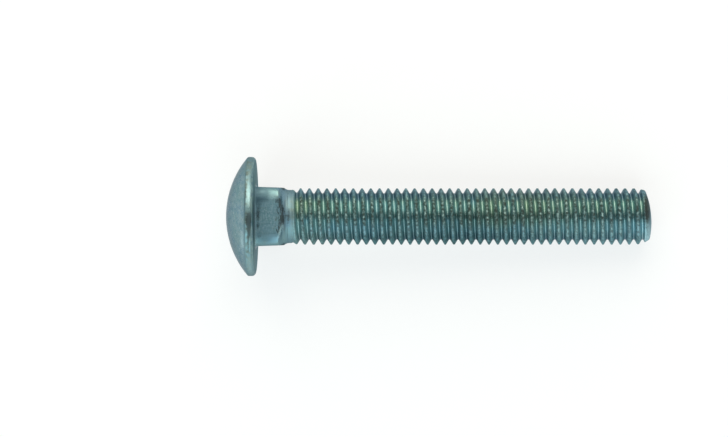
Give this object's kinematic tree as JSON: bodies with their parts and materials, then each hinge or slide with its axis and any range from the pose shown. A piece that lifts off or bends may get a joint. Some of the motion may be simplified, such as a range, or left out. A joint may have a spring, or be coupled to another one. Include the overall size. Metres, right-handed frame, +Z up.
{
  "type": "carriage bolt",
  "caption": "Round head square neck bolt with a domed head, a short square neck and a right-hand thread along the rest of its shank.",
  "frame": {"origin": "centre of the bearing face under the head, on the bolt's axis", "axes": "+Z up, +Y across the bolt, +X along it from the head to the end; the bolt lies on its head's rim and its thread, so its axis falls 4.733 degrees below +X"},
  "size_m": [0.0946, 0.0266, 0.0266],
  "materials": {
    "plated_steel": "bright zinc plating over forged and rolled steel, blue-grey, lightly scratched and specked"
  },
  "bodies": {
    "root": {"carriage_bolt": "plated_steel"}
  },
  "joints": []
}
